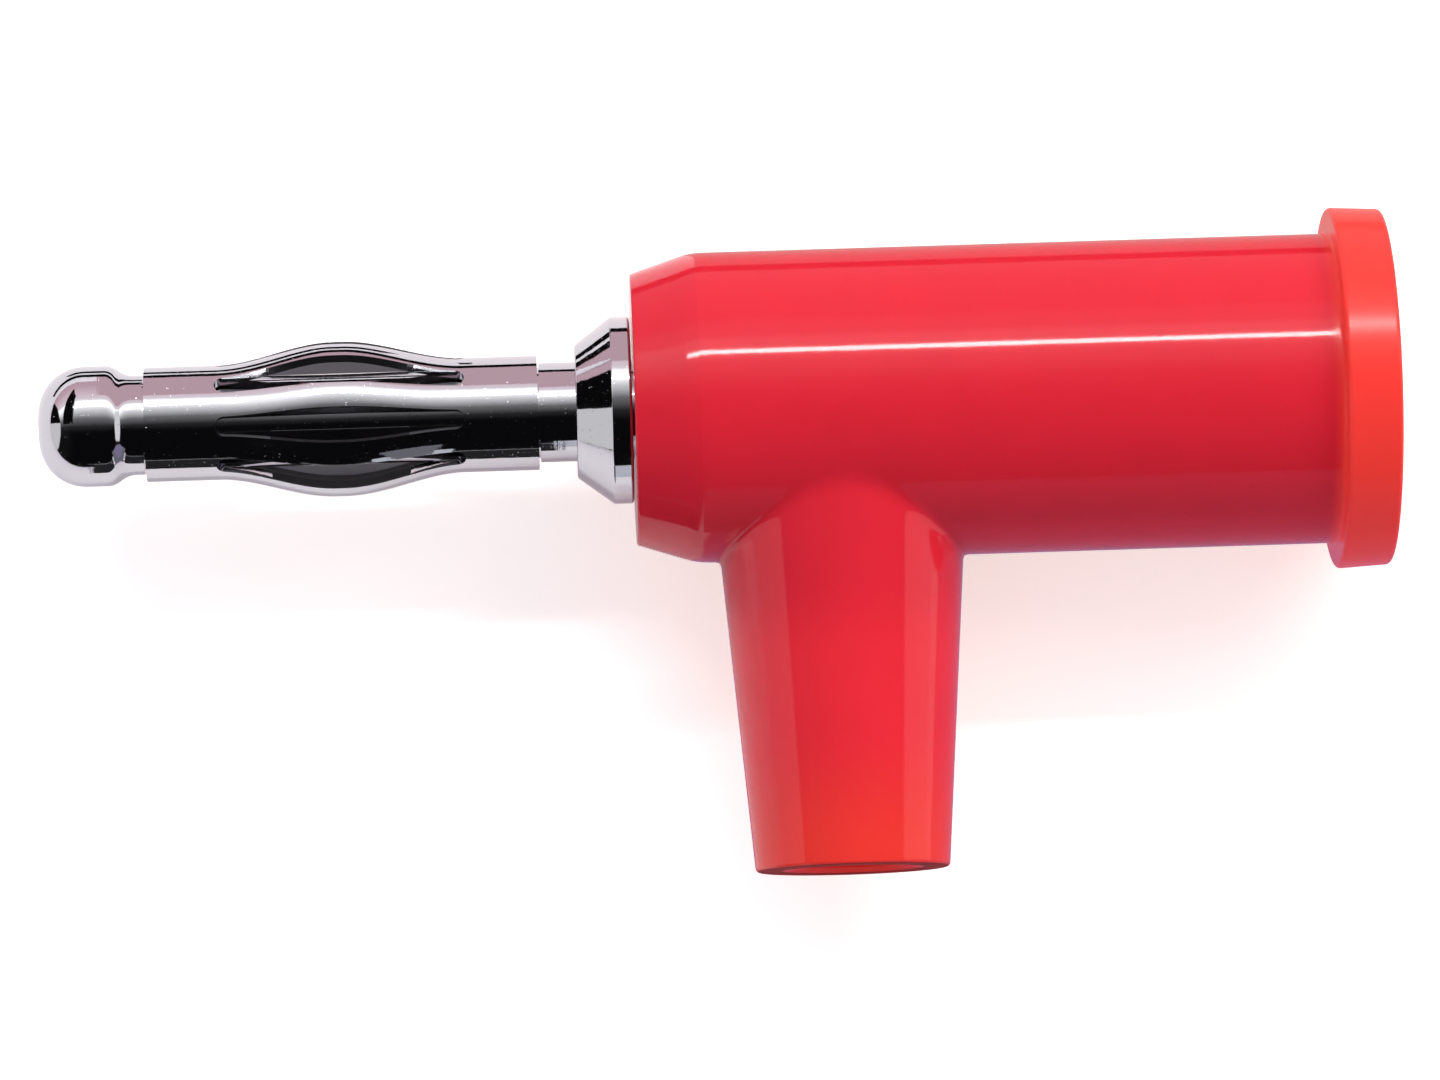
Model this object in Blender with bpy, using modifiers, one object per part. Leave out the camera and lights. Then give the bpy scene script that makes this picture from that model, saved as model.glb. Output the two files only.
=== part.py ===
"""A red 4 mm banana plug with a lantern spring, a cable spout at right angles and a rear socket.

The plug lies along X: its pin points to -X, its flange is at +X and its cable spout points to -Y.
Every turned piece is drawn in the frame of the plug's axis, where Z runs from the pin's tip to the
flange and zero is the front face of the housing. The empty plug_axis carries that frame.

Run with: blender --background --python part.py
"""
import math

import bmesh
import bpy
from mathutils import Vector

# Housing, moulded in one piece (metres)
HOUSING_LENGTH = 0.0250
TUBE_DIAMETER = 0.0103
NOSE_LENGTH = 0.0020
NOSE_ANGLE = math.radians(18.0)
NOSE_BLEND_RADIUS = 0.0028
FRONT_EDGE_RADIUS = 0.0001
FRONT_WALL = 0.0016
FLANGE_DIAMETER = 0.0120
FLANGE_DRAFT_ANGLE = math.radians(3.0)
FLANGE_THICKNESS = 0.00178
FLANGE_EDGE_RADIUS = 0.00015
FLANGE_ROOT_RADIUS = 0.00015
MOUTH_CHAMFER = 0.0003

# Cable spout of the housing: a tapered branch at right angles
SPOUT_POSITION = 0.00677
SPOUT_REACH = 0.0155
SPOUT_TIP_DIAMETER = 0.00643
SPOUT_TAPER_ANGLE = math.radians(4.5)
SPOUT_EDGE_RADIUS = 0.00015
CABLE_BORE_DIAMETER = 0.0044
CABLE_BORE_CHAMFER = 0.0002

# Socket sleeve, turned brass
SLEEVE_DIAMETER = 0.0064
SLEEVE_RECESS = 0.0010
SLEEVE_EDGE_RADIUS = 0.0002
SOCKET_DIAMETER = 0.00405
SOCKET_COUNTERSINK = 0.0003
SOCKET_WEB = 0.0007
WIRE_HOLE_DIAMETER = 0.0020
THREAD_RUNOUT = 0.0003
DRILL_POINT_ANGLE = math.radians(31.0)

# Contact pin, turned brass
PIN_LENGTH = 0.0197
HEAD_DIAMETER = 0.0040
HEAD_LENGTH = 0.00245
HEAD_NOSE_RADIUS = 0.00155
HEAD_REAR_RADIUS = 0.0007
WAIST_LENGTH = 0.00105
WAIST_SLOPE_LENGTH = 0.0005
WAIST_COVE_RADIUS = 0.0008
LAND_DIAMETER = 0.0033
NECK_LENGTH = 0.0012
COLLAR_DIAMETER = 0.0062
COLLAR_NOSE_DIAMETER = 0.0044
COLLAR_LENGTH = 0.0019
COLLAR_RIM = 0.0007
COLLAR_EDGE_RADIUS = 0.0001
SHANK_DIAMETER = 0.0030
SHANK_EDGE_RADIUS = 0.0003

# Lantern spring, one rolled and slotted sheet
SPRING_DIAMETER = 0.0038
SPRING_SHEET = 0.0003
SPRING_FRONT_BAND = 0.00233
SPRING_REAR_BAND = 0.00242
SPRING_BULGE = 0.00071
BULGE_RISE = 0.0039
BULGE_FALL = 0.0040
LEAF_COUNT = 8
SLOT_WIDTH = 0.00064
SEAM_GAP = 0.00012
SEAM_ANGLE = math.radians(10.5)

# Clearances between pieces that touch or run on each other
SEAT_GAP = 0.00005
SLEEVE_CLEARANCE = 0.00005
THREAD_CLEARANCE = 0.00005
SHANK_HOLE_CLEARANCE = 0.00015
SPRING_RUNNING_CLEARANCE = 0.00009
SPRING_END_PLAY = 0.00005

# Fineness of the turned pieces and of the rolled sheet
HOUSING_STEPS = 64
METAL_STEPS = 40
ARC_STEP = math.radians(22.5)
LEAF_COLUMNS = 4
SLOT_END_STEPS = 4
BULGE_STEPS = 7
SHARP_ANGLE = math.radians(35.0)
CUTTER_MARGIN = 0.001
MERGE_DISTANCE = 0.000001

# Places worked out from the sizes, along the axis from the housing's front face
SLEEVE_FRONT = FRONT_WALL + SEAT_GAP
SLEEVE_REAR = HOUSING_LENGTH - SLEEVE_RECESS
THREAD_BORE_RADIUS = SHANK_DIAMETER / 2 + THREAD_CLEARANCE
THREAD_BORE_END = SPOUT_POSITION + WIRE_HOLE_DIAMETER / 2 + THREAD_RUNOUT
DRILL_POINT_END = THREAD_BORE_END + THREAD_BORE_RADIUS * math.tan(DRILL_POINT_ANGLE)
SOCKET_BOTTOM = DRILL_POINT_END + SOCKET_WEB
SHANK_END = SPOUT_POSITION - WIRE_HOLE_DIAMETER / 2
SPRING_SEAT_REAR = -(COLLAR_LENGTH + NECK_LENGTH)
SPRING_SEAT_FRONT = -(PIN_LENGTH - HEAD_LENGTH - WAIST_LENGTH)
SPRING_FRONT_END = SPRING_SEAT_FRONT + SPRING_END_PLAY
SPRING_REAR_END = SPRING_SEAT_REAR - SPRING_END_PLAY
SPRING_SLOT_FRONT = SPRING_FRONT_END + SPRING_FRONT_BAND
SPRING_SLOT_REAR = SPRING_REAR_END - SPRING_REAR_BAND
CORE_RADIUS = SPRING_DIAMETER / 2 - SPRING_SHEET - SPRING_RUNNING_CLEARANCE

# Place of the front face and the axis, with the origin at the bottom centre of the plug's box
FRONT_FACE_X = (PIN_LENGTH - HOUSING_LENGTH) / 2
AXIS_Y = (SPOUT_REACH - FLANGE_DIAMETER / 2) / 2
AXIS_Z = FLANGE_DIAMETER / 2


def clear_scene():
    """Remove every object, mesh and collection that the file holds."""
    for obj in list(bpy.data.objects):
        bpy.data.objects.remove(obj, do_unlink=True)
    for mesh in list(bpy.data.meshes):
        bpy.data.meshes.remove(mesh)
    for collection in list(bpy.data.collections):
        bpy.data.collections.remove(collection)


def new_collection(name):
    """Make a collection in the scene."""
    collection = bpy.data.collections.new(name)
    bpy.context.scene.collection.children.link(collection)
    return collection


def new_material(name, colour, roughness, metallic):
    """Make a Principled material with a linear colour."""
    material = bpy.data.materials.new(name)
    material.use_nodes = True
    shader = material.node_tree.nodes["Principled BSDF"]
    shader.inputs["Base Color"].default_value = (*colour, 1.0)
    shader.inputs["Roughness"].default_value = roughness
    shader.inputs["Metallic"].default_value = metallic
    material.diffuse_color = (*colour, 1.0)
    return material


def rounded(corners):
    """Turn corners (radius, height, corner radius) into a profile with arcs at its rounded corners."""
    points = []
    for index, (radius, height, size) in enumerate(corners):
        corner = Vector((radius, height))
        if not size:
            points.append(corner)
            continue
        before = (Vector(corners[index - 1][:2]) - corner).normalized()
        after = (Vector(corners[index + 1][:2]) - corner).normalized()
        half_angle = before.angle(after) / 2
        centre = corner + (before + after).normalized() * size / math.sin(half_angle)
        start = (corner + before * size / math.tan(half_angle) - centre).normalized()
        end = (corner + after * size / math.tan(half_angle) - centre).normalized()
        steps = max(2, math.ceil(start.angle(end) / ARC_STEP))
        points += [centre + start.slerp(end, step / steps) * size for step in range(steps + 1)]
    return points


def place(obj, collection, parent, location=(0.0, 0.0, 0.0), rotation=(0.0, 0.0, 0.0)):
    """Link an object, put it under its parent and place it there."""
    collection.objects.link(obj)
    obj.parent = parent
    obj.location = location
    obj.rotation_euler = rotation


def shade(mesh):
    """Shade a mesh smooth, with sharp edges where its faces turn strongly."""
    mesh.shade_smooth()
    mesh.set_sharp_from_angle(angle=SHARP_ANGLE)


def turned(name, corners, steps):
    """Make a turned piece: a profile that starts and ends on the Z axis, with a Screw modifier."""
    points = rounded(corners)
    mesh = bpy.data.meshes.new(name)
    edges = [(index, index + 1) for index in range(len(points) - 1)]
    mesh.from_pydata([(point.x, 0.0, point.y) for point in points], edges, [])
    obj = bpy.data.objects.new(name, mesh)
    turn = obj.modifiers.new("turn", "SCREW")
    turn.axis = "Z"
    turn.steps = steps
    turn.render_steps = steps
    turn.use_merge_vertices = True
    turn.merge_threshold = MERGE_DISTANCE
    turn.use_smooth_shade = True
    return obj


def combine(obj, other, operation):
    """Join another object to this one, or cut this one by it."""
    boolean = obj.modifiers.new(other.name, "BOOLEAN")
    boolean.operation = operation
    boolean.solver = "EXACT"
    boolean.object = other


def cutter(obj, collection, parent, **where):
    """Place a guide shape that shows as wire and is never rendered."""
    place(obj, collection, parent, **where)
    obj.hide_render = True
    obj.display_type = "WIRE"
    return obj


def housing_form():
    """Turn the outside of the housing: front face, conical nose, tube and flange."""
    tube = TUBE_DIAMETER / 2
    face = tube - NOSE_LENGTH * math.tan(NOSE_ANGLE)
    draft = math.tan(FLANGE_DRAFT_ANGLE)
    over_edge = FLANGE_EDGE_RADIUS * (1.0 / math.cos(FLANGE_DRAFT_ANGLE) + draft - 1.0)
    flange = FLANGE_DIAMETER / 2 + over_edge
    flange_front = HOUSING_LENGTH - FLANGE_THICKNESS
    return turned("housing", [
        (0.0, HOUSING_LENGTH, 0),
        (flange - FLANGE_THICKNESS * draft, HOUSING_LENGTH, FLANGE_EDGE_RADIUS),
        (flange, flange_front, FLANGE_EDGE_RADIUS),
        (tube, flange_front, FLANGE_ROOT_RADIUS),
        (tube, NOSE_LENGTH, NOSE_BLEND_RADIUS),
        (face, 0.0, FRONT_EDGE_RADIUS),
        (0.0, 0.0, 0),
    ], HOUSING_STEPS)


def spout_form():
    """Turn the outside of the spout, from the plug's axis to its tip."""
    tip = SPOUT_TIP_DIAMETER / 2
    root = tip + SPOUT_REACH * math.tan(SPOUT_TAPER_ANGLE)
    return turned("spout_form", [
        (0.0, SPOUT_REACH, 0),
        (tip, SPOUT_REACH, SPOUT_EDGE_RADIUS),
        (root, 0.0, 0),
        (0.0, 0.0, 0),
    ], HOUSING_STEPS)


def sleeve_core():
    """Turn the core that leaves the housing's bore: the sleeve's seat and the hole for the shank."""
    bore = SLEEVE_DIAMETER / 2 + SLEEVE_CLEARANCE
    hole = SHANK_DIAMETER / 2 + SHANK_HOLE_CLEARANCE
    beyond = HOUSING_LENGTH + CUTTER_MARGIN
    return turned("sleeve_core", [
        (0.0, beyond, 0),
        (bore + MOUTH_CHAMFER + CUTTER_MARGIN, beyond, 0),
        (bore, HOUSING_LENGTH - MOUTH_CHAMFER, 0),
        (bore, FRONT_WALL, 0),
        (hole, FRONT_WALL, 0),
        (hole, -CUTTER_MARGIN, 0),
        (0.0, -CUTTER_MARGIN, 0),
    ], HOUSING_STEPS)


def cable_core():
    """Turn the core that leaves the cable's bore in the spout."""
    bore = CABLE_BORE_DIAMETER / 2
    return turned("cable_core", [
        (0.0, SPOUT_REACH + CUTTER_MARGIN, 0),
        (bore + CABLE_BORE_CHAMFER + CUTTER_MARGIN, SPOUT_REACH + CUTTER_MARGIN, 0),
        (bore, SPOUT_REACH - CABLE_BORE_CHAMFER, 0),
        (bore, 0.0, 0),
        (0.0, 0.0, 0),
    ], HOUSING_STEPS)


def make_housing(parts, cutters, axis):
    """Mould the housing: tube and spout in one piece, hollowed by its two cores."""
    spout_place = {"location": (0.0, 0.0, SPOUT_POSITION), "rotation": (math.pi / 2, 0.0, 0.0)}
    housing = housing_form()
    place(housing, parts, axis)
    combine(housing, cutter(spout_form(), cutters, axis, **spout_place), "UNION")
    combine(housing, cutter(sleeve_core(), cutters, axis), "DIFFERENCE")
    combine(housing, cutter(cable_core(), cutters, axis, **spout_place), "DIFFERENCE")
    housing.data.materials.append(new_material("red_polyamide", (0.72, 0.02, 0.03), 0.25, 0.0))


def sleeve_form():
    """Turn the socket sleeve: rear socket, web and threaded front bore."""
    outside = SLEEVE_DIAMETER / 2
    socket = SOCKET_DIAMETER / 2
    return turned("socket_sleeve", [
        (0.0, SOCKET_BOTTOM, 0),
        (socket, SOCKET_BOTTOM, 0),
        (socket, SLEEVE_REAR - SOCKET_COUNTERSINK, 0),
        (socket + SOCKET_COUNTERSINK, SLEEVE_REAR, 0),
        (outside, SLEEVE_REAR, SLEEVE_EDGE_RADIUS),
        (outside, SLEEVE_FRONT, SLEEVE_EDGE_RADIUS),
        (THREAD_BORE_RADIUS, SLEEVE_FRONT, 0),
        (THREAD_BORE_RADIUS, THREAD_BORE_END, 0),
        (0.0, DRILL_POINT_END, 0),
    ], HOUSING_STEPS)


def wire_drill():
    """Turn the drill of the wire's cross hole, from the sleeve's middle outwards."""
    hole = WIRE_HOLE_DIAMETER / 2
    reach = SLEEVE_DIAMETER / 2 + CUTTER_MARGIN
    corners = [(0.0, reach, 0), (hole, reach, 0), (hole, 0.0, 0), (0.0, 0.0, 0)]
    return turned("wire_drill", corners, METAL_STEPS)


def make_socket_sleeve(parts, cutters, axis, plating):
    """Make the socket sleeve, with the wire's hole in line with the spout."""
    sleeve = sleeve_form()
    place(sleeve, parts, axis)
    drill = cutter(wire_drill(), cutters, axis, location=(0.0, 0.0, SPOUT_POSITION),
                   rotation=(math.pi / 2, 0.0, 0.0))
    combine(sleeve, drill, "DIFFERENCE")
    sleeve.data.materials.append(plating)


def pin_form():
    """Turn the contact pin from the end of its threaded shank to its rounded tip."""
    shank = SHANK_DIAMETER / 2
    collar = COLLAR_DIAMETER / 2
    land = LAND_DIAMETER / 2
    head = HEAD_DIAMETER / 2
    head_start = -(PIN_LENGTH - HEAD_LENGTH)
    return turned("contact_pin", [
        (0.0, SHANK_END, 0),
        (shank, SHANK_END, SHANK_EDGE_RADIUS),
        (shank, -SEAT_GAP, 0),
        (collar, -SEAT_GAP, COLLAR_EDGE_RADIUS),
        (collar, -COLLAR_RIM, COLLAR_EDGE_RADIUS),
        (COLLAR_NOSE_DIAMETER / 2, -COLLAR_LENGTH, COLLAR_EDGE_RADIUS),
        (land, -COLLAR_LENGTH, 0),
        (land, SPRING_SEAT_REAR, 0),
        (CORE_RADIUS, SPRING_SEAT_REAR, 0),
        (CORE_RADIUS, SPRING_SEAT_FRONT, 0),
        (land, SPRING_SEAT_FRONT, 0),
        (land, head_start + WAIST_SLOPE_LENGTH, WAIST_COVE_RADIUS),
        (head, head_start, HEAD_REAR_RADIUS),
        (head, -PIN_LENGTH, HEAD_NOSE_RADIUS),
        (0.0, -PIN_LENGTH, 0),
    ], METAL_STEPS)


def make_contact_pin(parts, axis, plating):
    """Make the contact pin. Its origin is on the axis that its thread turns about."""
    pin = pin_form()
    place(pin, parts, axis)
    pin.data.materials.append(plating)
    return pin


def smooth_step(share):
    """Ease from 0 to 1, level at both ends."""
    share = min(max(share, 0.0), 1.0)
    return share * share * (3.0 - 2.0 * share)


def bulge(height):
    """Give how far a leaf stands out from the bands at a height on the axis."""
    rise = smooth_step((height - SPRING_SLOT_FRONT) / BULGE_RISE)
    fall = smooth_step((SPRING_SLOT_REAR - height) / BULGE_FALL)
    return SPRING_BULGE * min(rise, fall)


def spring_rows():
    """List the rows of the sheet as (height, share of the slot's width that is cut away)."""
    slot_end = SLOT_WIDTH / 2
    quarter = [math.pi / 2 * step / SLOT_END_STEPS for step in range(SLOT_END_STEPS + 1)]
    front = [(SPRING_SLOT_FRONT + slot_end * (1.0 - math.cos(angle)), math.sin(angle)) for angle in quarter]
    rear = [(SPRING_SLOT_REAR - slot_end * (1.0 - math.cos(angle)), math.sin(angle)) for angle in quarter]
    first = front[-1][0]
    last = rear[-1][0]
    top_front = SPRING_SLOT_FRONT + BULGE_RISE
    top_rear = SPRING_SLOT_REAR - BULGE_FALL
    rise = [(first + (top_front - first) * step / BULGE_STEPS, 1.0) for step in range(1, BULGE_STEPS + 1)]
    fall = [(top_rear + (last - top_rear) * step / BULGE_STEPS, 1.0) for step in range(BULGE_STEPS)]
    middle = [((top_front + top_rear) / 2, 1.0)]
    bands = [(SPRING_FRONT_END, 0.0)], [(SPRING_REAR_END, 0.0)]
    return bands[0] + front + rise + middle + fall + rear[::-1] + bands[1]


def roll(distance, height, leaf_angle):
    """Roll a point of the flat sheet: distance round the band, then out with its own leaf."""
    radius = SPRING_DIAMETER / 2
    angle = SEAM_ANGLE + distance / radius
    out = bulge(height)
    return Vector((
        radius * math.cos(angle) + out * math.cos(leaf_angle),
        radius * math.sin(angle) + out * math.sin(leaf_angle),
        height,
    ))


def add_leaf(mesh_data, leaf, rows):
    """Add the strip of sheet that holds one leaf, from band to band."""
    pitch = math.pi * SPRING_DIAMETER / LEAF_COUNT
    middle = pitch * (leaf + 0.5)
    leaf_angle = SEAM_ANGLE + middle / (SPRING_DIAMETER / 2)
    grid = bmesh.ops.create_grid(mesh_data, x_segments=LEAF_COLUMNS, y_segments=len(rows) - 1, size=1.0)
    for vertex in grid["verts"]:
        height, cut = rows[round((vertex.co.y + 1.0) / 2.0 * (len(rows) - 1))]
        half_width = (pitch - SLOT_WIDTH * cut) / 2
        distance = middle + half_width * vertex.co.x
        distance = min(max(distance, SEAM_GAP / 2), LEAF_COUNT * pitch - SEAM_GAP / 2)
        vertex.co = roll(distance, height, leaf_angle)


def make_lantern_spring(parts, pin, plating):
    """Make the lantern spring, which turns on the core of the pin that carries it."""
    rows = spring_rows()
    mesh_data = bmesh.new()
    for leaf in range(LEAF_COUNT):
        add_leaf(mesh_data, leaf, rows)
    bmesh.ops.remove_doubles(mesh_data, verts=mesh_data.verts, dist=MERGE_DISTANCE)
    mesh = bpy.data.meshes.new("lantern_spring")
    mesh_data.to_mesh(mesh)
    mesh_data.free()
    shade(mesh)
    spring = bpy.data.objects.new("lantern_spring", mesh)
    place(spring, parts, pin)
    sheet = spring.modifiers.new("sheet", "SOLIDIFY")
    sheet.thickness = SPRING_SHEET
    sheet.offset = -1.0
    sheet.use_even_offset = True
    spring.data.materials.append(plating)


def main():
    """Build the four pieces of the plug."""
    clear_scene()
    parts = new_collection("banana_plug")
    cutters = new_collection("banana_plug_cutters")
    axis = bpy.data.objects.new("plug_axis", None)
    place(axis, parts, None, (FRONT_FACE_X, AXIS_Y, AXIS_Z), (0.0, math.pi / 2, 0.0))
    plating = new_material("nickel_plate", (0.66, 0.64, 0.62), 0.08, 1.0)
    make_housing(parts, cutters, axis)
    make_socket_sleeve(parts, cutters, axis, plating)
    pin = make_contact_pin(parts, axis, plating)
    make_lantern_spring(parts, pin, plating)


main()
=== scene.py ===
import logging
from dataclasses import dataclass, field
from enum import Enum
from math import atan2, ceil, cos, hypot, pi, radians, sin, tan, tau

import bpy
import numpy as np
from mathutils import Matrix, Vector


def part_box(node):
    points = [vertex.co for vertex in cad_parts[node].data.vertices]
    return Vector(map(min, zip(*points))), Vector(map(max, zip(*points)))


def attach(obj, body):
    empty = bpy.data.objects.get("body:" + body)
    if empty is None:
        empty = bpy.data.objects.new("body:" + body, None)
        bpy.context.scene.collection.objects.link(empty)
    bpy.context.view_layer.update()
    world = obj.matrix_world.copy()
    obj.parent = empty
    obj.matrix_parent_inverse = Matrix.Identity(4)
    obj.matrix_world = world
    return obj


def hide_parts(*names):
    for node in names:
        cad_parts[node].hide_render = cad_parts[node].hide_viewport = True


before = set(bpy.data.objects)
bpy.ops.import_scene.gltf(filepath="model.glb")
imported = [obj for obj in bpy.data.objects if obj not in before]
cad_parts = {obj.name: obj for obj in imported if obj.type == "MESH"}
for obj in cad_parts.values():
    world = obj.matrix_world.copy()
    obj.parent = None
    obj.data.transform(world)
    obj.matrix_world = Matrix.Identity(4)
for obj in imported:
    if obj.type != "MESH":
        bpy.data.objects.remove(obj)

MILLIMETRE = 0.001
SHARP_ANGLE = radians(32.0)
ARC_STEP = radians(7.5)
MERGE_GAP = 0.0005
CUTTER_MARGIN = 1.0
NOISE_RANGE = (0.3, 0.7)
WHOLE = (0.0, 1.0)
WHITE = "#FFFFFF"

log = logging.getLogger("banana_plug")

Piece = bpy.types.Object
Material = bpy.types.Material
Node = bpy.types.Node
Socket = bpy.types.NodeSocket
Span = tuple[float, float]
Triple = tuple[float, float, float]
Outline = list[Vector]


class Body(Enum):
    """The bodies of the frame that the pieces ride on."""

    PLUG = "plug_body"
    PIN = "pin"
    SPRING = "spring"


class Slot(Enum):
    """The record's material slots."""

    RED = "red_polyamide"
    NICKEL = "nickel_plate"
    SPRING = "spring_plate"


class Cut(Enum):
    """How one form joins or hollows another."""

    JOIN = "UNION"
    HOLLOW = "DIFFERENCE"


class Mix(Enum):
    """What is mixed: the Mix node's data type, its two inputs and its output."""

    NUMBER = ("FLOAT", 2, 3, 0)
    COLOUR = ("RGBA", 6, 7, 2)


def linear(hex_colour: str) -> tuple[float, float, float, float]:
    """Turn an sRGB hex colour into the linear colour that shaders read.

    Args:
        hex_colour: Six hex digits after a hash.

    Returns:
        Linear red, green and blue, then a full alpha.
    """
    shares = [int(hex_colour[index:index + 2], 16) / 255.0 for index in (1, 3, 5)]
    straight = [share / 12.92 if share <= 0.04045 else ((share + 0.055) / 1.055) ** 2.4 for share in shares]
    return (*straight, 1.0)


class Nodes:
    """The nodes of a material or world, with short ways to add and link them."""

    def __init__(self, owner: Material | bpy.types.World) -> None:
        """Switch a material or world to nodes and clear them.

        Args:
            owner: The material or world.
        """
        owner.use_nodes = True
        owner.node_tree.nodes.clear()
        self.owner = owner

    def add(self, kind: str, inputs: dict[str | int, object] | None = None, **settings: object) -> Node:
        """Add a node, set it up and link what feeds it.

        Args:
            kind: Blender's name of the node's type, after its ShaderNode.
            inputs: Input sockets by name or number; an output socket is linked, anything else is set.
            settings: Values of the node's own properties.

        Returns:
            The new node.
        """
        tree = self.owner.node_tree
        node = tree.nodes.new(f"ShaderNode{kind}")
        for name, value in settings.items():
            setattr(node, name, value)
        for socket, value in (inputs or {}).items():
            if isinstance(value, Socket):
                tree.links.new(value, node.inputs[socket])
            else:
                node.inputs[socket].default_value = value
        return node

    def surface(self, shader: Node) -> Material:
        """Make a shader the material's surface and give the material."""
        self.add("OutputMaterial", {"Surface": shader.outputs[0]})
        return self.owner

    def maths(self, operation: str, *values: Socket | float) -> Socket:
        """Calculate with numbers."""
        return self.add("Math", dict(enumerate(values)), operation=operation).outputs["Value"]

    def vectors(self, operation: str, *values: Socket | tuple[float, ...]) -> Socket:
        """Calculate with vectors; a length and a dot product give a number."""
        node = self.add("VectorMath", dict(enumerate(values)), operation=operation)
        return node.outputs["Value" if operation in ("LENGTH", "DOT_PRODUCT") else "Vector"]

    def remap(self, value: Socket, source: Span, target: Span, **settings: str) -> Socket:
        """Map a value from one range on to another, held at its ends, by a node with further settings."""
        ends = dict(zip(("From Min", "From Max", "To Min", "To Max"), (*source, *target)))
        return self.add("MapRange", {"Value": value, **ends}, **settings).outputs["Result"]

    def ease(self, value: Socket, zone: Span) -> Socket:
        """Ease from 0, at the first end of a zone, to 1 at its second end; the zone may run either way."""
        ends = WHOLE if zone[0] < zone[1] else WHOLE[::-1]
        return self.remap(value, tuple(sorted(zone)), ends, interpolation_type="SMOOTHSTEP")

    def noise(self, place: Socket, size: float, detail: float) -> Socket:
        """Fill space with noise whose grains have a size in mm."""
        inputs = {"Vector": place, "Scale": 1.0 / (size * MILLIMETRE), "Detail": detail}
        return self.add("TexNoise", inputs).outputs["Fac"]

    def bump(self, height: Socket, depth: float, **under: Socket) -> Socket:
        """Turn a height, where 1 stands for a depth in mm, into a bumped normal, over another one."""
        inputs = {"Height": height, "Distance": depth * MILLIMETRE, "Strength": 1.0, **under}
        return self.add("Bump", inputs).outputs["Normal"]

    def mix(self, what: Mix, share: Socket | float, first: object, second: object) -> Socket:
        """Mix two numbers or two colours by the share of the second one."""
        kind, low, high, result = what.value
        return self.add("Mix", {0: share, low: first, high: second}, data_type=kind).outputs[result]


def make_active(piece: Piece) -> None:
    """Select one piece only and make it the active one.

    Args:
        piece: The piece.
    """
    bpy.ops.object.select_all(action="DESELECT")
    piece.select_set(True)
    bpy.context.view_layer.objects.active = piece


def add_plane(name: str, size: float = 2.0) -> Piece:
    """Lay a square at the origin.

    Args:
        name: Its name.
        size: The length of its sides.

    Returns:
        The square.
    """
    bpy.ops.mesh.primitive_plane_add(size=size, location=(0, 0, 0))
    plane = bpy.context.active_object
    plane.name = name
    return plane


def apply_modifier(piece: Piece, kind: str, **settings: object) -> None:
    """Add a modifier with its settings and apply it.

    Args:
        piece: The piece that is changed.
        kind: Blender's name of the modifier's type.
        settings: Values of the modifier's properties.
    """
    make_active(piece)
    modifier = piece.modifiers.new(kind.lower(), kind)
    for name, value in settings.items():
        setattr(modifier, name, value)
    bpy.ops.object.modifier_apply(modifier=modifier.name)


def cut(piece: Piece, tool: Piece, how: Cut) -> None:
    """Join a form to a piece or hollow the piece by it, and remove the form."""
    apply_modifier(piece, "BOOLEAN", operation=how.value, solver="EXACT", object=tool)
    bpy.data.objects.remove(tool, do_unlink=True)


def round_corners(corners: list[tuple[float, ...]]) -> Outline:
    """Draw an outline through corners and round those that have a radius of their own.

    Args:
        corners: Place along the axis, distance from it and, for a rounded corner, its radius, in mm.

    Returns:
        The outline's points.
    """
    points: Outline = []
    for index, (along, away, *rounding) in enumerate(corners):
        corner = Vector((along, away))
        if not rounding:
            points.append(corner)
            continue
        size = rounding[0]
        before = (Vector(corners[index - 1][:2]) - corner).normalized()
        after = (Vector(corners[index + 1][:2]) - corner).normalized()
        half_angle = before.angle(after) / 2.0
        centre = corner + (before + after).normalized() * size / sin(half_angle)
        start = (corner + before * size / tan(half_angle) - centre).normalized()
        end = (corner + after * size / tan(half_angle) - centre).normalized()
        steps = max(3, ceil(start.angle(end) / ARC_STEP))
        points += [centre + start.slerp(end, step / steps) * size for step in range(steps + 1)]
    return points


def split_run(outline: Outline, start: float, end: float, step: float) -> Outline:
    """Put closer points on the straight runs of an outline between two places along the axis.

    Args:
        outline: The outline to refine.
        start: Where the refined stretch starts, in mm along the axis.
        end: Where it ends.
        step: The largest distance left between two points there.

    Returns:
        The refined outline.
    """
    points = outline[:1]
    for before, after in zip(outline, outline[1:]):
        low, high = sorted((before.x, after.x))
        marks = [mark for mark in (start, end) if low < mark < high]
        inner, length = max(low, start), min(high, end) - max(low, start)
        if length > step:
            count = ceil(length / step)
            marks += [inner + length * index / count for index in range(1, count)]
        shares = sorted({(mark - before.x) / (after.x - before.x) for mark in marks})
        points += [before.lerp(after, share) for share in shares if 0.0 < share < 1.0]
        points.append(after)
    return points


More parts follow.
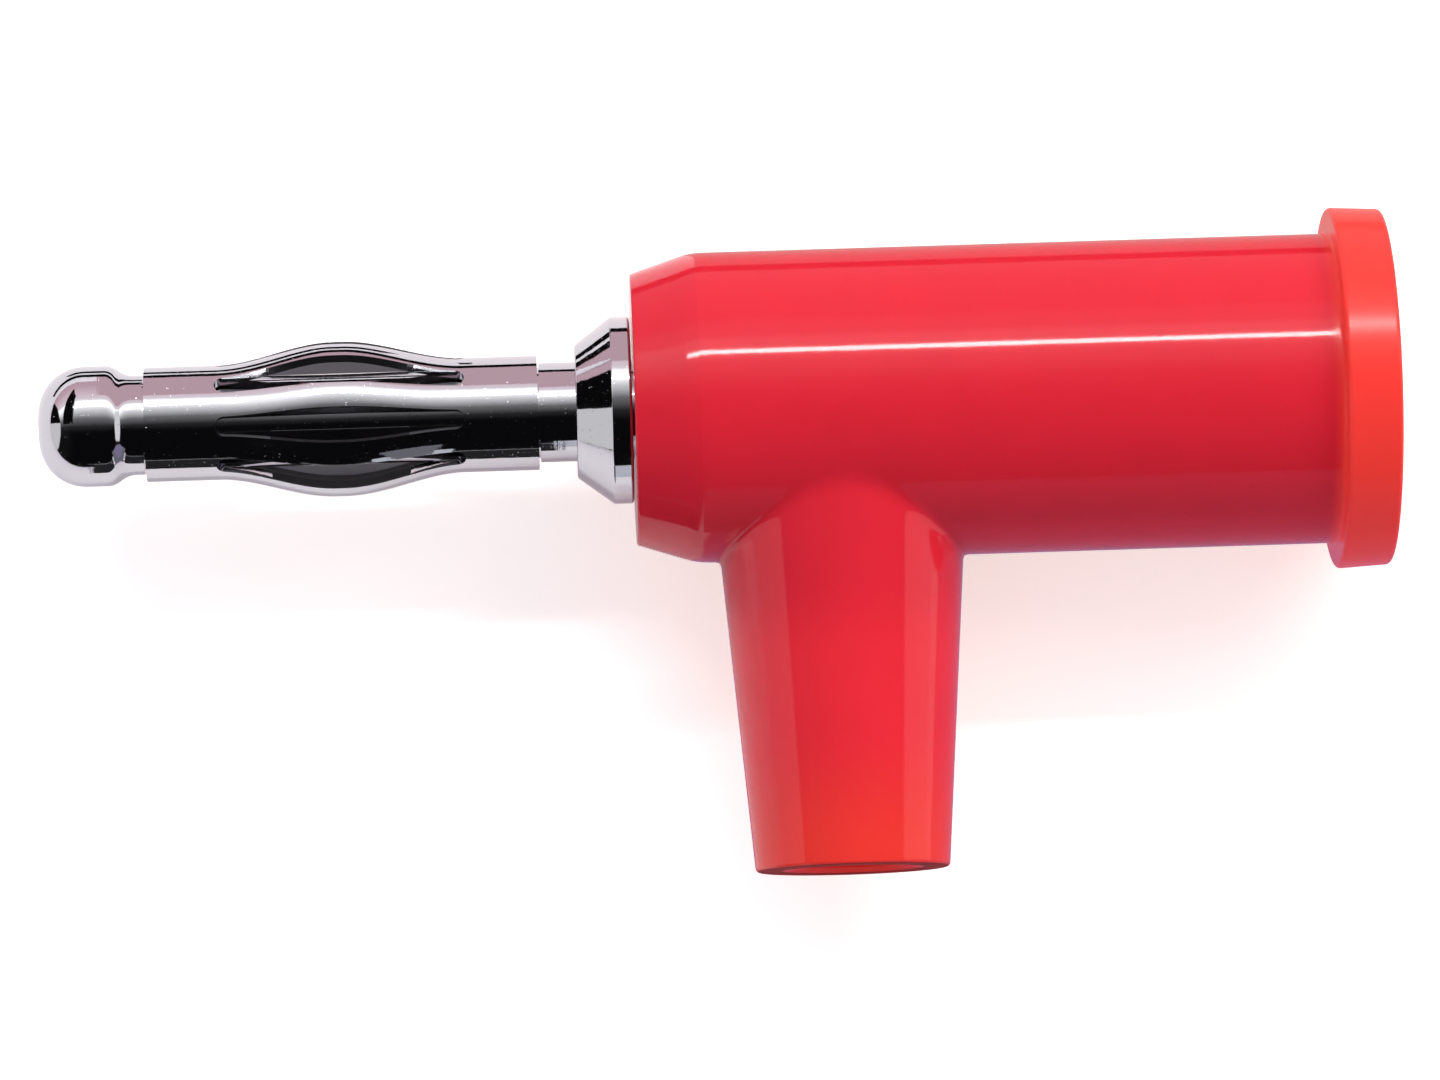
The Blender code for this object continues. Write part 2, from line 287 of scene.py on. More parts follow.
def turn(name: str, outline: Outline, steps: int) -> Piece:
    """Turn a piece about X: one vertex is extruded along the outline, which is then spun.

    Args:
        name: The piece's name.
        outline: Points of the half section, in mm, starting and ending on the axis or closed.
        steps: Faces round the piece.

    Returns:
        The turned piece, in mm in the plug's frame.
    """
    piece = add_plane(name)
    bpy.ops.object.mode_set(mode="EDIT")
    bpy.ops.mesh.select_mode(type="VERT")
    bpy.ops.mesh.select_all(action="SELECT")
    bpy.ops.mesh.merge(type="CENTER")
    bpy.ops.transform.translate(value=(outline[0].x, 0.0, outline[0].y))
    for before, after in zip(outline, outline[1:]):
        move = {"value": (after.x - before.x, 0.0, after.y - before.y)}
        bpy.ops.mesh.extrude_vertices_move(TRANSFORM_OT_translate=move)
    bpy.ops.mesh.select_all(action="SELECT")
    bpy.ops.mesh.spin(steps=steps, angle=tau, center=(0, 0, 0), axis=(1, 0, 0))
    bpy.ops.mesh.select_all(action="SELECT")
    bpy.ops.mesh.remove_doubles(threshold=MERGE_GAP)
    bpy.ops.mesh.normals_make_consistent(inside=False)
    bpy.ops.object.mode_set(mode="OBJECT")
    return piece


def aim_down(form: Piece, position: float) -> Piece:
    """Turn a form that was made along X to run down the spout, to -Y, at a place along the plug's axis."""
    form.data.transform(Matrix.Translation((position, 0.0, 0.0)) @ Matrix.Rotation(-pi / 2, 4, "Z"))
    return form


def finish_shading(piece: Piece) -> Piece:
    """Shade a piece smooth with sharp edges, and weight its normals by face size.

    Args:
        piece: The piece.

    Returns:
        The same piece.
    """
    make_active(piece)
    bpy.ops.object.shade_smooth_by_angle(angle=SHARP_ANGLE)
    apply_modifier(piece, "WEIGHTED_NORMAL", keep_sharp=True, weight=50)
    return piece


@dataclass(frozen=True)
class Seat:
    """Where the plug's own frame lies in the world.

    The plug's frame has X along the axis from the housing's front face to the flange, in mm.
    """

    front: float
    axis_y: float
    axis_z: float

    @classmethod
    def from_frame(cls) -> "Seat":
        """Read the place of the front face and of the axis from the CAD nodes.

        Returns:
            The seat.
        """
        housing_low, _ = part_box("housing")
        pin_low, pin_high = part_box("contact_pin")
        return cls(housing_low[0], (pin_low[1] + pin_high[1]) / 2, (pin_low[2] + pin_high[2]) / 2)

    def matrix(self) -> Matrix:
        """Give the move from the plug's frame in mm to the world in metres."""
        return Matrix.Translation((self.front, self.axis_y, self.axis_z)) @ Matrix.Scale(MILLIMETRE, 4)

    def centre(self) -> Vector:
        """Give the middle of the plug's axis in the world."""
        return Vector((0.0, self.axis_y, self.axis_z))

    def along(self, x: float) -> float:
        """Give a world X as a place along the plug's axis, in mm."""
        return (x - self.front) / MILLIMETRE


@dataclass(frozen=True)
class BrightNickel:
    """Bright nickel plate: a neutral mirror with faint lathe marks and a few fine pits.

    Sizes and depths are in mm. Where inside_of gives the Y and Z of an axis along X, the sheet's side that
    faces this axis is rougher and painted darker, as painted shade inside the spring.
    """

    name: str = "bright_nickel"
    colour: str = "#CBCBCF"
    roughness: Span = (0.027, 0.072)
    mark_spacing: float = 0.24
    mark_scale_round: float = 60.0
    grain_size: float = 0.4
    bump_depth: float = 0.0019
    pit_size: float = 0.08
    pit_depth: float = 0.003
    pit_range: Span = (0.73, 0.79)
    inside_of: Span | None = None
    # Painted shade: the dark colour of the spring's inner faces.
    inside_painted_shade_colour: str = "#4A4A4C"
    inside_roughness: float = 0.45

    def build(self) -> Material:
        """Build the material.

        Returns:
            A metal with rings round the axis, a little unevenness and small pits.
        """
        nodes = Nodes(bpy.data.materials.new(self.name))
        place = nodes.add("TexCoord").outputs["Object"]
        rings = nodes.add("Mapping", {
            "Vector": place,
            "Scale": (1.0 / (self.mark_spacing * MILLIMETRE), self.mark_scale_round, self.mark_scale_round),
        })
        marks = nodes.add("TexNoise", {
            "Vector": rings.outputs["Vector"], "Scale": 1.0, "Detail": 3.0, "Roughness": 0.55,
        })
        grain = nodes.noise(place, self.grain_size, 4.0)
        skin = nodes.bump(nodes.maths("ADD", marks.outputs["Fac"], grain), self.bump_depth)
        pits = nodes.remap(nodes.noise(place, self.pit_size, 1.0), self.pit_range, WHOLE[::-1])
        gloss = nodes.remap(grain, NOISE_RANGE, self.roughness)
        inside = self.inside(nodes, place)
        return nodes.surface(nodes.add("BsdfPrincipled", {
            # The spring's inner faces take the painted shade colour.
            "Base Color": nodes.mix(Mix.COLOUR, inside, linear(self.colour), linear(self.inside_painted_shade_colour)),
            "Metallic": 1.0,
            "Roughness": nodes.mix(Mix.NUMBER, inside, gloss, self.inside_roughness),
            "Normal": nodes.bump(pits, self.pit_depth, Normal=skin),
        }))

    def inside(self, nodes: Nodes, place: Socket) -> Socket | float:
        """Find the faces that look at the axis of a rolled sheet.

        Args:
            nodes: The material's nodes.
            place: Object coordinates.

        Returns:
            1 on the inside of the sheet and 0 elsewhere; 0 where there is no sheet.
        """
        if self.inside_of is None:
            return 0.0
        out = nodes.vectors("SUBTRACT", place, (0.0, *self.inside_of))
        radial = nodes.vectors("MULTIPLY", out, (0.0, 1.0, 1.0))
        true_normal = nodes.add("NewGeometry").outputs["True Normal"]
        normal = nodes.add(
            "VectorTransform", {"Vector": true_normal},
            vector_type="NORMAL", convert_from="WORLD", convert_to="OBJECT")
        facing = nodes.vectors("DOT_PRODUCT", radial, normal.outputs["Vector"])
        return nodes.maths("LESS_THAN", facing, 0.0)


@dataclass(frozen=True)
class MouldedPolyamide:
    """Glossy moulded polyamide, dyed red; flange and spout, with no brass behind them, get painted glow: an
    orange emission and a more orange colour.

    Sizes and depths are in mm. Zones are in metres of Object coordinates, the flange's along X and the others
    along Y. The cut face of the spout's tip starts in uncut_zone.
    """

    name: str = "moulded_polyamide"
    colour: str = "#E22A3A"
    # Painted glow: a more orange colour on the flange and the spout's tip, standing for light shining through
    # the thin plastic.
    thin_painted_glow_colour: str = "#E83A32"
    # Colour and strengths of the painted glow, an emission on flange and spout, which are no lamp.
    painted_emission_colour: str = "#FF4034"
    flange_painted_glow: float = 0.2
    spout_painted_glow: float = 0.1
    scatter_colour: Triple = (1.0, 0.22, 0.12)
    scatter_depth: float = 0.6
    scatter_share: float = 0.25
    roughness: float = 0.08
    rim_roughness: float = 0.22
    cut_roughness: float = 0.9
    # Painted shade: the share of the colour left on the spout tip's cut face.
    cut_painted_shade: float = 0.42
    cloud_size: float = 2.2
    cloud_shade: float = 0.96
    skin_size: float = 0.45
    skin_depth: float = 0.0010
    flange_zone: Span = (0.0201, 0.0206)
    tip_zone: Span = (-0.0060, -0.0106)
    spout_zone: Span = (-0.0015, -0.0040)
    uncut_zone: Span = (-0.01074, -0.01068)

    def build(self) -> Material:
        """Build the material.

        Returns:
            A red plastic with a moulded skin and light scattered under it.
        """
        nodes = Nodes(bpy.data.materials.new(self.name))
        place = nodes.add("TexCoord").outputs["Object"]
        parts = nodes.add("SeparateXYZ", {"Vector": place}).outputs
        rim = nodes.ease(parts["X"], self.flange_zone)
        thin = nodes.maths("MAXIMUM", rim, nodes.ease(parts["Y"], self.tip_zone))
        uncut = nodes.ease(parts["Y"], self.uncut_zone)
        clouds = nodes.remap(nodes.noise(place, self.cloud_size, 3.0), NOISE_RANGE, (self.cloud_shade, 1.0))
        # Random cloudy tone, times painted shade on the spout tip's cut face.
        shade = nodes.maths("MULTIPLY", clouds, nodes.remap(uncut, WHOLE, (self.cut_painted_shade, 1.0)))
        # Painted glow: the colour turns more orange on the flange and the spout's tip.
        dye_and_painted_glow = nodes.mix(Mix.COLOUR, thin, linear(self.colour), linear(self.thin_painted_glow_colour))
        tone = nodes.add("VectorMath", {0: dye_and_painted_glow, "Scale": shade}, operation="SCALE")
        gloss = nodes.remap(rim, WHOLE, (self.roughness, self.rim_roughness))
        spout = nodes.maths("MULTIPLY", nodes.ease(parts["Y"], self.spout_zone), self.spout_painted_glow)
        uncut_spout = nodes.maths("MULTIPLY", spout, uncut)
        return nodes.surface(nodes.add("BsdfPrincipled", {
            "Base Color": tone.outputs["Vector"],
            "Roughness": nodes.mix(Mix.NUMBER, uncut, self.cut_roughness, gloss),
            "Normal": nodes.bump(nodes.noise(place, self.skin_size, 2.0), self.skin_depth),
            "IOR": 1.5,
            # Emission on flange and spout: painted glow for light shining through the plastic.
            "Emission Color": linear(self.painted_emission_colour),
            "Emission Strength": nodes.maths("MULTIPLY_ADD", rim, self.flange_painted_glow, uncut_spout),
            "Specular IOR Level": 0.35,
            "Subsurface Weight": self.scatter_share,
            "Subsurface Radius": self.scatter_colour,
            "Subsurface Scale": self.scatter_depth * MILLIMETRE,
        }))


@dataclass
class Housing:
    """The red moulding: conical nose, tube, rear flange and a tapered cable spout, with its bores."""

    length: float
    flange_radius: float
    spout_reach: float
    tube_radius: float = 5.15
    nose_length: float = 2.0
    nose_angle: float = radians(18.0)
    nose_blend: float = 2.8
    front_edge: float = 0.1
    front_wall: float = 1.6
    front_hole_radius: float = 1.65
    flange_thickness: float = 1.78
    flange_draft: float = radians(3.0)
    flange_edge: float = 0.15
    flange_root: float = 0.15
    bore_radius: float = 3.25
    mouth_chamfer: float = 0.3
    spout_position: float = 6.77
    spout_tip_radius: float = 3.215
    spout_taper: float = radians(4.5)
    spout_edge: float = 0.15
    cable_radius: float = 2.2
    cable_chamfer: float = 0.2
    junction_fillet: float = 0.2
    fillet_start: float = 1.0
    fillet_rounds: int = 12
    surface_gap: float = 0.01
    probe: float = 0.001
    least_slope: float = 0.1
    row_step: float = 0.14
    steps: int = 240
    spout_steps: int = 192

    def spout_root_radius(self) -> float:
        """Give the spout's radius at the plug's axis."""
        return self.spout_tip_radius + self.spout_reach * tan(self.spout_taper)

    def outline(self) -> Outline:
        """Draw the outside, with closer rows where the spout joins the tube.

        Returns:
            The outline from the axis at the rear to the axis at the front.
        """
        flange_front = self.length - self.flange_thickness
        draft = tan(self.flange_draft)
        rim = self.flange_radius + self.flange_edge * (1.0 / cos(self.flange_draft) + draft - 1.0)
        face_radius = self.tube_radius - self.nose_length * tan(self.nose_angle)
        drawn = round_corners([
            (self.length, 0), (self.length, rim - self.flange_thickness * draft, self.flange_edge),
            (flange_front, rim, self.flange_edge),
            (flange_front, self.tube_radius, self.flange_root),
            (self.nose_length, self.tube_radius, self.nose_blend),
            (0, face_radius, self.front_edge), (0, 0),
        ])
        half_width = self.spout_root_radius() + self.junction_fillet
        start = self.spout_position - half_width
        return split_run(drawn, start, self.spout_position + half_width, self.row_step)

    def spout(self) -> Piece:
        """Turn the outside of the spout and stand it across the tube.

        Returns:
            The solid spout.
        """
        drawn = round_corners([
            (self.spout_reach, 0), (self.spout_reach, self.spout_tip_radius, self.spout_edge),
            (0, self.spout_root_radius()), (0, 0),
        ])
        outer = self.tube_radius + 3 * self.junction_fillet
        refined = split_run(drawn, self.tube_radius / 2, outer, self.row_step)
        return aim_down(turn("spout", refined, self.spout_steps), self.spout_position)

    def tube_distance(self, points: np.ndarray) -> np.ndarray:
        """Measure how far points stand out from the tube and its nose, in mm."""
        nose_radius = self.tube_radius - (self.nose_length - points[:, 0]) * tan(self.nose_angle)
        return np.hypot(points[:, 1], points[:, 2]) - np.minimum(self.tube_radius, nose_radius)

    def spout_distance(self, points: np.ndarray) -> np.ndarray:
        """Measure how far points stand out from the spout's cone, in mm."""
        cone = self.spout_root_radius() + points[:, 1] * tan(self.spout_taper)
        return (np.hypot(points[:, 0] - self.spout_position, points[:, 2]) - cone) * cos(self.spout_taper)

    def blended_distance(self, points: np.ndarray) -> np.ndarray:
        """Measure how far points stand out from tube and spout with a fillet between them.

        Args:
            points: One point in each row, in mm.

        Returns:
            Their distances, in mm.
        """
        tube = self.tube_distance(points)
        spout = self.spout_distance(points)
        reach = self.junction_fillet
        share = np.clip(0.5 + 0.5 * (spout - tube) / reach, 0.0, 1.0)
        return spout * (1.0 - share) + tube * share - reach * share * (1.0 - share)

    def fillet_junction(self, piece: Piece) -> None:
        """Move the points beside the junction out on to a smooth fillet.

        Args:
            piece: The joined tube and spout.
        """
        mesh = piece.data
        points = np.empty(len(mesh.vertices) * 3)
        mesh.vertices.foreach_get("co", points)
        points = points.reshape(-1, 3)
        tube, spout = self.tube_distance(points), self.spout_distance(points)
        near = (np.abs(tube - spout) < self.junction_fillet) & (np.minimum(tube, spout) < self.surface_gap)
        near &= (points[:, 1] < 0.0) & (points[:, 0] > self.fillet_start)
        moved = points[near]
        for _ in range(self.fillet_rounds):
            here = self.blended_distance(moved)
            slope = np.stack([
                (self.blended_distance(moved + step) - self.blended_distance(moved - step)) / (2 * self.probe)
                for step in np.eye(3) * self.probe
            ], axis=1)
            moved = moved - slope * (here / np.maximum((slope ** 2).sum(axis=1), self.least_slope))[:, None]
        points[near] = moved
        mesh.vertices.foreach_set("co", points.ravel())
        mesh.update()

    def sleeve_core(self) -> Piece:
        """Turn the form that leaves the sleeve's bore and the hole in the front wall."""
        beyond = self.length + CUTTER_MARGIN
        return turn("sleeve_core", round_corners([
            (beyond, 0), (beyond, self.bore_radius + self.mouth_chamfer + CUTTER_MARGIN),
            (self.length - self.mouth_chamfer, self.bore_radius),
            (self.front_wall, self.bore_radius),
            (self.front_wall, self.front_hole_radius),
            (-CUTTER_MARGIN, self.front_hole_radius), (-CUTTER_MARGIN, 0),
        ]), self.spout_steps)

    def cable_core(self) -> Piece:
        """Turn the form that leaves the cable's bore in the spout."""
        beyond = self.spout_reach + CUTTER_MARGIN
        return aim_down(turn("cable_core", round_corners([
            (beyond, 0), (beyond, self.cable_radius + self.cable_chamfer + CUTTER_MARGIN),
            (self.spout_reach - self.cable_chamfer, self.cable_radius),
            (0, self.cable_radius), (0, 0),
        ]), self.spout_steps), self.spout_position)

    def build(self) -> Piece:
        """Mould the housing.

        Returns:
            The finished housing, in the plug's frame.
        """
        piece = turn("housing_moulding", self.outline(), self.steps)
        cut(piece, self.spout(), Cut.JOIN)
        self.fillet_junction(piece)
        cut(piece, self.sleeve_core(), Cut.HOLLOW)
        cut(piece, self.cable_core(), Cut.HOLLOW)
        return finish_shading(piece)


@dataclass
class SocketSleeve:
    """The turned brass sleeve in the housing: rear socket, wire hole and threaded front bore."""

    front: float
    rear: float
    radius: float
    edge: float = 0.2
    socket_radius: float = 2.025
    countersink: float = 0.3
    web: float = 0.7
    thread_radius: float = 1.55
    thread_end: float = 8.07
    drill_angle: float = radians(31.0)
    wire_radius: float = 1.0
    wire_position: float = 6.77
    steps: int = 128

    def wire_drill(self) -> Piece:
        """Turn the drill of the wire's hole and aim it down the spout.

        Returns:
            The drill.
        """
        reach = self.radius + CUTTER_MARGIN
        drawn = round_corners([(reach, 0), (reach, self.wire_radius), (0, self.wire_radius), (0, 0)])
        return aim_down(turn("wire_drill", drawn, self.steps // 2), self.wire_position)

    def build(self) -> Piece:
        """Turn and drill the sleeve.

        Returns:
            The finished sleeve, in the plug's frame.
        """
        drill_end = self.thread_end + self.thread_radius * tan(self.drill_angle)
        socket_bottom = drill_end + self.web
        piece = turn("sleeve_turning", round_corners([
            (socket_bottom, 0), (socket_bottom, self.socket_radius),
            (self.rear - self.countersink, self.socket_radius),
            (self.rear, self.socket_radius + self.countersink),
            (self.rear, self.radius, self.edge),
            (self.front, self.radius, self.edge), (self.front, self.thread_radius),
            (self.thread_end, self.thread_radius), (drill_end, 0),
        ]), self.steps)
        cut(piece, self.wire_drill(), Cut.HOLLOW)
        return finish_shading(piece)


@dataclass
class ContactPin:
    """The turned pin: rounded head, waist, core, neck, chamfered collar and threaded shank."""

    tip: float
    shank_end: float
    head_radius: float = 2.0
    head_length: float = 2.45
    nose_radius: float = 1.55
    rear_radius: float = 0.7
    waist_length: float = 1.05
    slope_length: float = 0.5
    cove_radius: float = 0.8
    land_radius: float = 1.65
    core_radius: float = 1.51
    neck_length: float = 1.2
    collar_radius: float = 3.1
    collar_nose_radius: float = 2.2
    collar_length: float = 1.9
    collar_rim: float = 0.7
    collar_edge: float = 0.1
    seat_gap: float = 0.05
    shank_radius: float = 1.5
    shank_edge: float = 0.3
    thread_pitch: float = 0.5
    thread_depth: float = 0.3
    thread_relief: float = 0.5
    uncut_share: float = 0.55
    steps: int = 128

    def outline(self) -> Outline:
        """Draw the pin, with close rows on the thread.

        Returns:
            The outline from the end of the shank to the tip.
        """
        head_rear = self.tip + self.head_length
        seat_front = head_rear + self.waist_length
        seat_rear = -(self.collar_length + self.neck_length)
        drawn = round_corners([
            (self.shank_end, 0), (self.shank_end, self.shank_radius, self.shank_edge),
            (-self.seat_gap, self.shank_radius),
            (-self.seat_gap, self.collar_radius, self.collar_edge),
            (-self.collar_rim, self.collar_radius, self.collar_edge),
            (-self.collar_length, self.collar_nose_radius, self.collar_edge),
            (-self.collar_length, self.land_radius),
            (seat_rear, self.land_radius), (seat_rear, self.core_radius),
            (seat_front, self.core_radius), (seat_front, self.land_radius),
            (head_rear + self.slope_length, self.land_radius, self.cove_radius),
            (head_rear, self.head_radius, self.rear_radius),
            (self.tip, self.head_radius, self.nose_radius), (self.tip, 0),
        ])
        return split_run(drawn, self.thread_relief, self.shank_end, self.thread_pitch / 8)

    def cut_thread(self, piece: Piece) -> None:
        """Cut the screw thread: points on the shank move in by their phase on the helix.

        Args:
            piece: The turned pin.
        """
        start = self.thread_relief
        for vertex in piece.data.vertices:
            along, across, up = vertex.co
            radius = hypot(across, up)
            if along < start or radius < self.shank_radius * self.uncut_share:
                continue
            phase = (along / self.thread_pitch + atan2(up, across) / tau) % 1.0
            groove = 1.0 - abs(2.0 * phase - 1.0)
            run_in = min(1.0, (along - start) / self.thread_pitch)
            limit = self.shank_radius - self.thread_depth * groove * run_in
            if radius > limit:
                vertex.co.y *= limit / radius
                vertex.co.z *= limit / radius

    def build(self) -> Piece:
        """Turn the pin and cut its thread.

        Returns:
            The finished pin, in the plug's frame.
        """
        piece = turn("pin_turning", self.outline(), self.steps)
        self.cut_thread(piece)
        return finish_shading(piece)


@dataclass
class LanternSpring:
    """The rolled spring sheet: two bands joined by eight leaves that bow outwards."""

    front: float
    rear: float
    radius: float = 1.9
    sheet: float = 0.3
    front_band: float = 2.33
    rear_band: float = 2.42
    bulge: float = 0.71
    rise: float = 3.9
    fall: float = 4.0
    leaves: int = 8
    slot_width: float = 0.64
    seam_gap: float = 0.12
    seam_angle: float = radians(-79.5)
    punched_edge: float = 0.03
    punched_angle: float = radians(60.0)
    columns: int = 12
    slot_end_steps: int = 9
    bulge_steps: int = 22

    def stand_out(self, along: float) -> float:
        """Give how far a leaf stands out from the bands, in mm.

        Args:
            along: The place along the axis.

        Returns:
            The bow at that place.
        """
        rise = (along - self.front - self.front_band) / self.rise
        fall = (self.rear - self.rear_band - along) / self.fall
        share = min(max(min(rise, fall), 0.0), 1.0)
        return self.bulge * share * share * (3.0 - 2.0 * share)

    def rows(self) -> list[Span]:
        """List the rows of the flat sheet.

        Returns:
            For each row its place along the axis and the share of the slot's width that is cut there.
        """
        half_slot = self.slot_width / 2
        slot_front = self.front + self.front_band
        slot_rear = self.rear - self.rear_band
        angles = [pi / 2 * step / self.slot_end_steps for step in range(self.slot_end_steps + 1)]
        front = [(slot_front + half_slot * (1.0 - cos(angle)), sin(angle)) for angle in angles]
        rear = [(slot_rear - half_slot * (1.0 - cos(angle)), sin(angle)) for angle in angles]
        first, last = front[-1][0], rear[-1][0]
        top_front, top_rear = slot_front + self.rise, slot_rear - self.fall
        shares = [step / self.bulge_steps for step in range(self.bulge_steps + 1)]
        leaf = [(first + (top_front - first) * share, 1.0) for share in shares[1:]]
        leaf.append(((top_front + top_rear) / 2, 1.0))
        leaf += [(top_rear + (last - top_rear) * share, 1.0) for share in shares[:-1]]
        return [(self.front, 0.0)] + front + leaf + rear[::-1] + [(self.rear, 0.0)]

    def roll(self, distance: float, along: float, leaf_angle: float) -> Vector:
        """Roll a point of the flat sheet round the axis and move it out with its leaf.

        Args:
            distance: How far the point lies round the band.
            along: Its place along the axis.
            leaf_angle: The direction in which its leaf stands out.

        Returns:
            The point in the plug's frame.
        """
        angle = self.seam_angle + distance / self.radius
        out = self.stand_out(along)
        return Vector((
            along,
            self.radius * cos(angle) + out * cos(leaf_angle),
            self.radius * sin(angle) + out * sin(leaf_angle),
        ))

    def strip(self, leaf: int, rows: list[Span]) -> Piece:
        """Shape the strip of sheet that holds one leaf, from band to band.

        Args:
            leaf: The leaf's number, counted from the seam.
            rows: The rows of the flat sheet.

        Returns:
            The strip as an open grid.
        """
        bpy.ops.mesh.primitive_grid_add(x_subdivisions=self.columns, y_subdivisions=len(rows) - 1, size=2.0)
        piece = bpy.context.active_object
        pitch = tau * self.radius / self.leaves
        middle = pitch * (leaf + 0.5)
        leaf_angle = self.seam_angle + middle / self.radius
        for vertex in piece.data.vertices:
            along, cut_share = rows[round((vertex.co.y + 1.0) / 2.0 * (len(rows) - 1))]
            half_width = (pitch - self.slot_width * cut_share) / 2
            distance = middle + half_width * vertex.co.x
            distance = min(max(distance, self.seam_gap / 2), self.leaves * pitch - self.seam_gap / 2)
            vertex.co = self.roll(distance, along, leaf_angle)
        return piece

    def build(self) -> Piece:
        """Punch, roll and thicken the sheet.

        Returns:
            The finished spring, in the plug's frame.
        """
        rows = self.rows()
        piece, *others = [self.strip(leaf, rows) for leaf in range(self.leaves)]
        make_active(piece)
        for strip in others:
            strip.select_set(True)
        bpy.ops.object.join()
        piece.name = "spring_sheet"
        bpy.ops.object.mode_set(mode="EDIT")
        bpy.ops.mesh.select_all(action="SELECT")
        bpy.ops.mesh.remove_doubles(threshold=MERGE_GAP)
        bpy.ops.object.mode_set(mode="OBJECT")
        self.face_outwards(piece)
        apply_modifier(piece, "SOLIDIFY", thickness=self.sheet, offset=-1.0, use_even_offset=True)
        apply_modifier(piece, "BEVEL", width=self.punched_edge, segments=2, angle_limit=self.punched_angle,
                       limit_method="ANGLE")
        return finish_shading(piece)

    @staticmethod
    def face_outwards(piece: Piece) -> None:
        """Flip the sheet's faces if they point at the axis.

        Args:
            piece: The rolled sheet.
        """
        face = piece.data.polygons[0]
        outward = Vector((0.0, face.center.y, face.center.z))
        if face.normal.dot(outward) < 0.0:
            piece.data.flip_normals()


@dataclass(frozen=True)
class PhotoCamera:
    """A long lens straight above the plug, leaning towards the spout's tip as in the photo."""

    target: Triple = (0.093, -4.43, 0.0)
    distance: float = 262.0
    lean: float = radians(5.68)
    swing: float = radians(1.447)
    roll: float = radians(1.80)
    focal_pixels: float = 7902.0
    frame_width: int = 1440
    sensor_width: float = 36.0
    clip_start: float = 0.01

    def place(self, seat: Seat) -> None:
        """Add the camera and make it the scene's.

        Args:
            seat: Where the plug lies.
        """
        back = Vector((-sin(self.swing), -sin(self.lean), cos(self.lean))).normalized()
        across = (Vector((1.0, 0.0, 0.0)) - back * back.x).normalized()
        upward = back.cross(across)
        right = across * cos(self.roll) - upward * sin(self.roll)
        up = across * sin(self.roll) + upward * cos(self.roll)
        aim = seat.centre() + Vector(self.target) * MILLIMETRE
        spot = aim + back * self.distance * MILLIMETRE
        data = bpy.data.cameras.new("photo_camera")
        data.sensor_width = self.sensor_width
        data.lens = self.focal_pixels / self.frame_width * self.sensor_width
        data.clip_start = self.clip_start
        camera = bpy.data.objects.new("photo_camera", data)
        bpy.context.scene.collection.objects.link(camera)
        turned = Matrix((right, up, back)).transposed().to_4x4()
        camera.matrix_world = Matrix.Translation(spot) @ turned
        bpy.context.scene.camera = camera


@dataclass(frozen=True)
class StripLamp:
    """An area lamp that faces the plug from a direction over it, with its distance and sides in metres."""

    name: str
    lean: float
    swing: float
    distance: float
    length: float
    width: float
    power: float
    colour: str = WHITE
    in_reflections: bool = True

    def place(self, centre: Vector) -> None:
        """Add the lamp.

        Args:
            centre: The point that it faces.
        """
        data = bpy.data.lights.new(self.name, "AREA")
        data.shape = "RECTANGLE"
        data.size = self.length
        data.size_y = self.width
        data.energy = self.power
        data.color = linear(self.colour)[:3]
        lamp = bpy.data.objects.new(self.name, data)
        bpy.context.scene.collection.objects.link(lamp)
        turned = Matrix.Rotation(-self.lean, 4, "X") @ Matrix.Rotation(self.swing, 4, "Y")
        lamp.matrix_world = Matrix.Translation(centre) @ turned @ Matrix.Translation((0, 0, self.distance))
        lamp.visible_glossy = self.in_reflections


def show_to_mirrors(piece: Piece) -> None:
    """Leave a piece to be seen in reflections only."""
    for kind in ("camera", "diffuse", "shadow", "transmission"):
        setattr(piece, f"visible_{kind}", False)


def glow(name: str, colour: str, strength: float) -> Material:
    """Build the plain glowing finish of a card."""
    nodes = Nodes(bpy.data.materials.new(name))
    return nodes.surface(nodes.add("Emission", {"Color": linear(colour), "Strength": strength}))


@dataclass(frozen=True)
class Card:
    """A card beside or under the plug, which only mirrors see.

    Its corners are in mm from the middle of the plug's axis; it is flat in X, in Y or in Z.
    """

    name: str
    low: Triple
    high: Triple
    colour: str
    strength: float = 1.0

    def place(self, centre: Vector) -> Piece:
        """Put the card in its place.

        Args:
            centre: The middle of the plug's axis.

        Returns:
            The card.
        """
        card = add_plane(self.name)
        low, high = Vector(self.low), Vector(self.high)
        for vertex in card.data.vertices:
            first, second = (vertex.co.x + 1.0) / 2.0, (vertex.co.y + 1.0) / 2.0
            spot = low.lerp(high, first)
            if low.z == high.z:
                spot.y = low.y + (high.y - low.y) * second
            else:
                spot.z = low.z + (high.z - low.z) * second
            vertex.co = centre + spot * MILLIMETRE
        card.data.update()
        card.data.materials.append(glow(self.name, self.colour, self.strength))
        show_to_mirrors(card)
        return card


